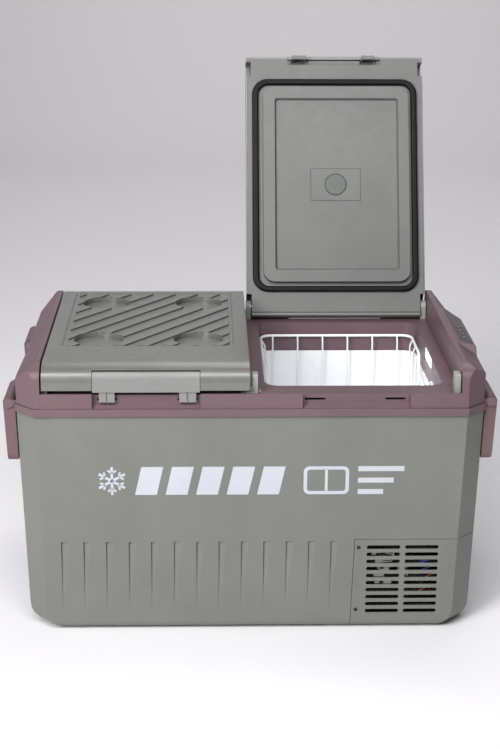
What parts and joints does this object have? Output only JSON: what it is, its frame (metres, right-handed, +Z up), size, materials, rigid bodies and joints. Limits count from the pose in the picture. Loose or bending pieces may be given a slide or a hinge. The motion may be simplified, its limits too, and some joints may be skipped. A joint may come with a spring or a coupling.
{
  "type": "compressor cooler fridge",
  "caption": "Portable chest fridge-freezer with paired top-hinged lids, removable wire baskets, swing carry handles, front latches, vented compressor bay and a sloping control panel.",
  "frame": {"origin": "on the floor plane, under the middle of the whole object as stored (left lid shut, right lid open); the cabinet's own centre is 78.3 mm nearer the front", "axes": "+Z up, +X to the object's right as its user stands in front of it, +Y from the latches towards the lid hinges"},
  "size_m": [0.7688, 0.6366, 0.8473],
  "materials": {
    "cabinet_grey": "fine moulded texture",
    "lid_grey": "fine moulded texture",
    "lid_inside_grey": "smooth moulded",
    "frame_maroon": "fine moulded texture",
    "liner_white": "smooth",
    "bracket_grey": "smooth moulded",
    "seal_black": "matte",
    "foot_rubber": "matte",
    "basket_white": "plastic-coated wire",
    "lens_white": "translucent",
    "panel_dark": "gloss",
    "button_dark": "satin",
    "board_green": "satin",
    "foam_yellow": "matte",
    "steel_zinc": "satin",
    "compressor_black": "satin",
    "aluminium_raw": "satin",
    "copper_pipe": "satin",
    "fins_black": "thin black lacquer",
    "black_plastic": "satin",
    "contact_brass": "polished"
  },
  "bodies": {
    "cabinet": {"body_shell": "cabinet_grey", "vent_cover": "cabinet_grey", "vent_cover_screws": "compressor_black", "rubber_feet": "foot_rubber", "top_frame": "frame_maroon", "display_window": "panel_dark", "control_board": "board_green", "liner_left": "liner_white", "liner_right": "liner_white", "foam_insulation": "foam_yellow", "evaporator_left": "aluminium_raw", "evaporator_right": "aluminium_raw", "bay_partition": "aluminium_raw", "basket_left": "basket_white", "basket_right": "basket_white", "light_lens_left": "lens_white", "light_lens_right": "lens_white", "base_tray": "steel_zinc", "compressor_grommets": "foot_rubber", "compressor": "compressor_black", "condenser": "fins_black", "fan_frame": "black_plastic", "compressor_controller": "aluminium_raw", "power_supply": "steel_zinc", "filter_drier": "copper_pipe", "power_inlets": "black_plastic", "inlet_contacts": "contact_brass", "side_wall_left": "frame_maroon", "side_wall_right": "frame_maroon", "opening_collar_left": "frame_maroon", "opening_collar_right": "frame_maroon", "refrigerant_pipes": "copper_pipe", "wiring_loom": "black_plastic", "hinge_brackets_outer": "bracket_grey", "hinge_brackets_centre": "bracket_grey", "handle_pins_left": "steel_zinc", "handle_pins_right": "steel_zinc"},
    "left_lid": {"left_lid_cover": "lid_grey", "left_lid_liner": "lid_inside_grey", "left_lid_foam": "foam_yellow", "left_lid_seal": "seal_black", "left_lid_plate": "lid_inside_grey", "left_lid_pins": "steel_zinc", "left_latch_pin": "steel_zinc"},
    "right_lid": {"right_lid_cover": "lid_grey", "right_lid_liner": "lid_inside_grey", "right_lid_foam": "foam_yellow", "right_lid_seal": "seal_black", "right_lid_plate": "lid_inside_grey", "right_lid_pins": "steel_zinc", "right_latch_pin": "steel_zinc"},
    "left_latch": {"left_latch": "lid_grey"},
    "right_latch": {"right_latch": "lid_grey"},
    "left_handle": {"handle_left": "frame_maroon"},
    "right_handle": {"handle_right": "frame_maroon"},
    "fan": {"fan_rotor": "black_plastic"},
    "power_key": {"power_button": "button_dark"},
    "zone_key": {"zone_button": "button_dark"},
    "down_key": {"down_button": "button_dark"},
    "up_key": {"up_button": "button_dark"}
  },
  "joints": [
    {"name": "left_lid_hinge", "type": "hinge", "parent": "cabinet", "child": "left_lid", "pos_m": [-0.162, 0.1357, 0.419], "axis": [-1, 0, 0], "range_deg": [0, 111.8]},
    {"name": "right_lid_hinge", "type": "hinge", "parent": "cabinet", "child": "right_lid", "pos_m": [0.162, 0.1357, 0.419], "axis": [-1, 0, 0], "range_deg": [-111.8, 0]},
    {"name": "left_latch_pivot", "type": "hinge", "parent": "left_lid", "child": "left_latch", "pos_m": [-0.16145, -0.3058, 0.429], "axis": [-1, 0, 0], "range_deg": [0, 32], "stiffness_Nm_per_rad": 0.12},
    {"name": "right_latch_pivot", "type": "hinge", "parent": "right_lid", "child": "right_latch", "pos_m": [0.16145, 0.30894, 0.82521], "axis": [-1, 0, 0], "range_deg": [0, 32], "stiffness_Nm_per_rad": 0.12},
    {"name": "left_handle_hinge", "type": "hinge", "parent": "cabinet", "child": "left_handle", "pos_m": [-0.3752, -0.0793, 0.378], "axis": [0, 1, 0], "range_deg": [0, 95]},
    {"name": "right_handle_hinge", "type": "hinge", "parent": "cabinet", "child": "right_handle", "pos_m": [0.3752, -0.0793, 0.378], "axis": [0, -1, 0], "range_deg": [0, 95]},
    {"name": "fan_spin", "type": "hinge", "parent": "cabinet", "child": "fan", "pos_m": [0.241, -0.2463, 0.082], "axis": [0, 1, 0], "continuous": true},
    {"name": "power_key_press", "type": "slide", "parent": "cabinet", "child": "power_key", "axis": [-0.1936, 0, -0.9811], "range_m": [0, 0.0006], "stiffness_N_per_m": 300},
    {"name": "zone_key_press", "type": "slide", "parent": "cabinet", "child": "zone_key", "axis": [-0.1936, 0, -0.9811], "range_m": [0, 0.0006], "stiffness_N_per_m": 300},
    {"name": "down_key_press", "type": "slide", "parent": "cabinet", "child": "down_key", "axis": [-0.1936, 0, -0.9811], "range_m": [0, 0.0006], "stiffness_N_per_m": 300},
    {"name": "up_key_press", "type": "slide", "parent": "cabinet", "child": "up_key", "axis": [-0.1936, 0, -0.9811], "range_m": [0, 0.0006], "stiffness_N_per_m": 300}
  ]
}
